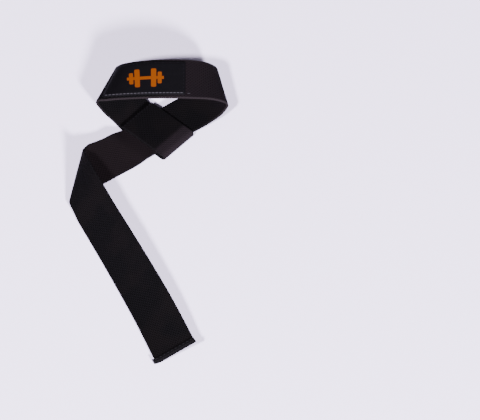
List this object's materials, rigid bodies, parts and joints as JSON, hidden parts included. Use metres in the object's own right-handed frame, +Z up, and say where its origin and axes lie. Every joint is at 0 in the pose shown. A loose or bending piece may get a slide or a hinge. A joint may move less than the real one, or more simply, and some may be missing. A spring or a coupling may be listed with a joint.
{
  "type": "weightlifting strap",
  "caption": "Cotton webbing lifting strap with a sewn sleeve, a threaded wrist loop with a smooth patch, a soft fold and a long free tail, lying flat.",
  "frame": {"origin": "under the middle of the sewn sleeve, on the surface that the strap lies on", "axes": "+Z up, +Y from the tail's end towards the wrist loop, +X to the right as seen from the tail's end"},
  "size_m": [0.1368, 0.3119, 0.0345],
  "materials": {
    "cotton_webbing": "woven matt",
    "satin_patch": "smooth satin",
    "cotton_binding": "woven matt"
  },
  "bodies": {
    "root": {"webbing": "cotton_webbing", "label_patch": "satin_patch", "tail_hem": "cotton_binding"}
  },
  "joints": []
}
